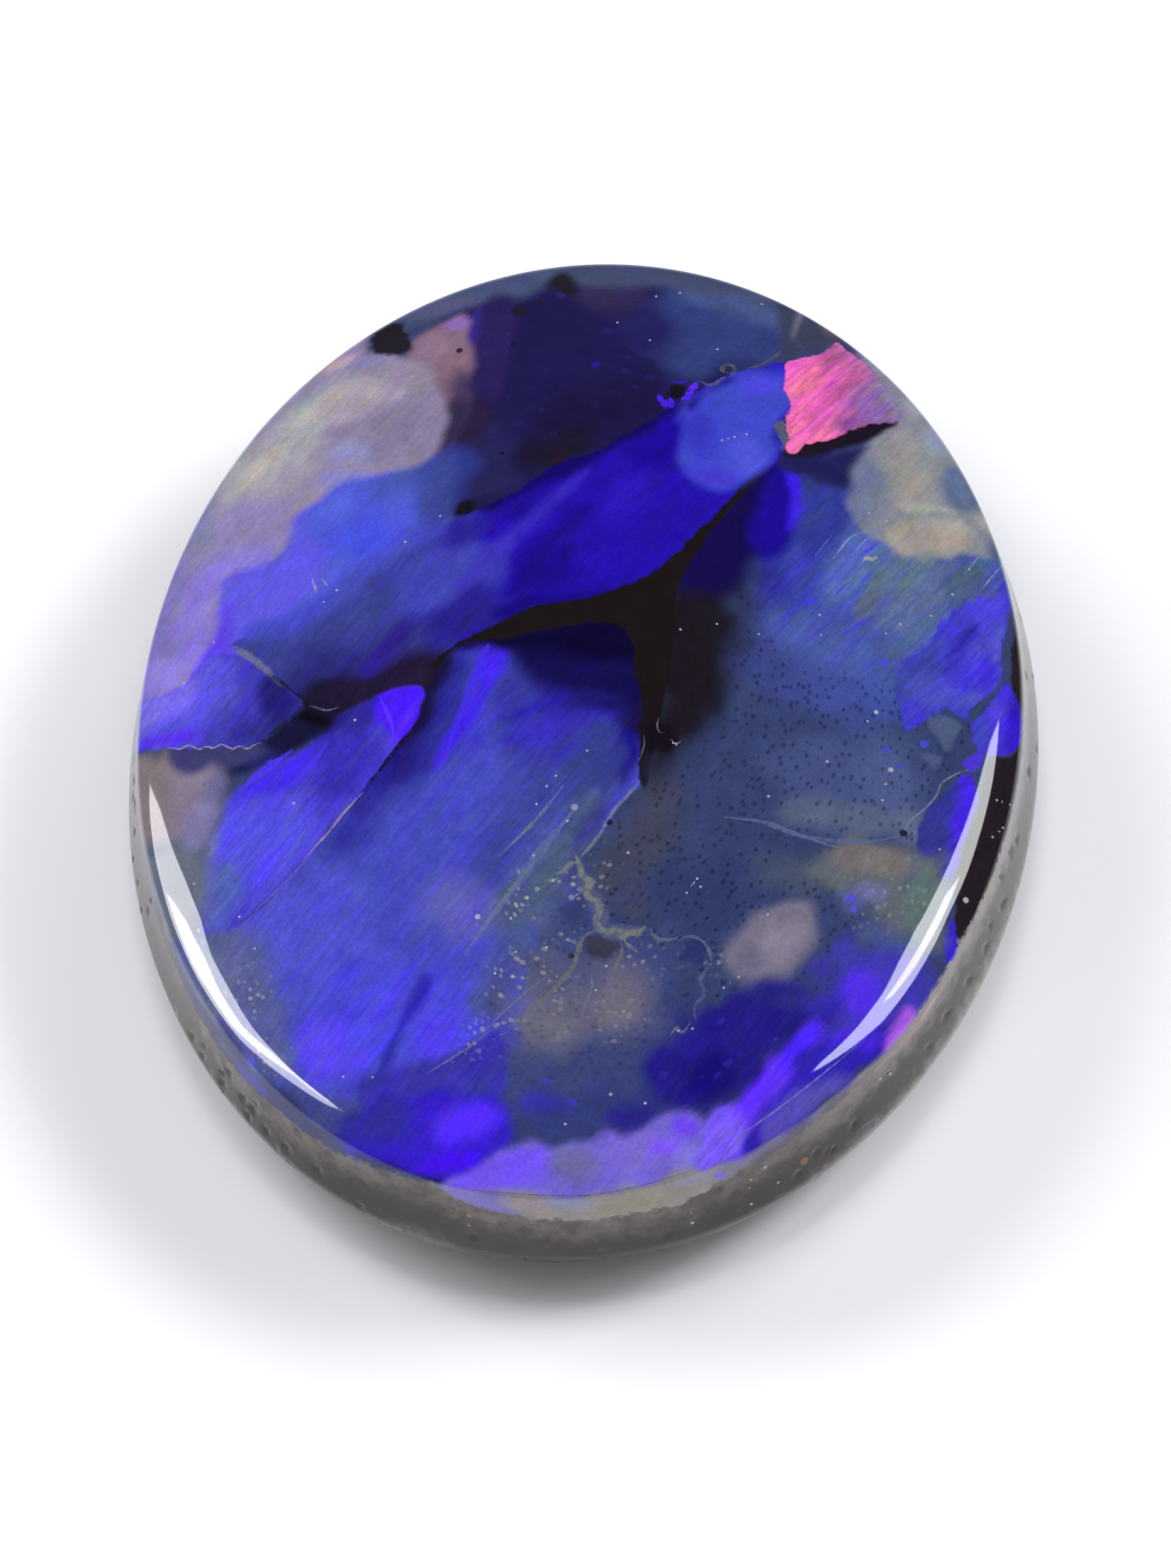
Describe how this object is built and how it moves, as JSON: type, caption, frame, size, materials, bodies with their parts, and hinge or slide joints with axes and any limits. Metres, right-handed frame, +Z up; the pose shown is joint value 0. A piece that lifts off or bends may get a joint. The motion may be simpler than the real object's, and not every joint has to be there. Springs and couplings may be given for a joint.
{
  "type": "black opal cabochon",
  "caption": "Oval black opal cabochon with a low polished dome, sloping shoulder, crisp edge, leaning wall and flat resting face; blue play of colour over dark potch.",
  "frame": {"origin": "middle of the flat resting face", "axes": "+Z up through the top of the dome, Y along the long axis of the oval, X along the short axis"},
  "size_m": [0.0114, 0.014, 0.0031],
  "materials": {
    "polished_black_opal": "high polish, glassy; blue and violet play of colour in patches over dark grey potch"
  },
  "bodies": {
    "root": {"opal_cabochon": "polished_black_opal"}
  },
  "joints": []
}
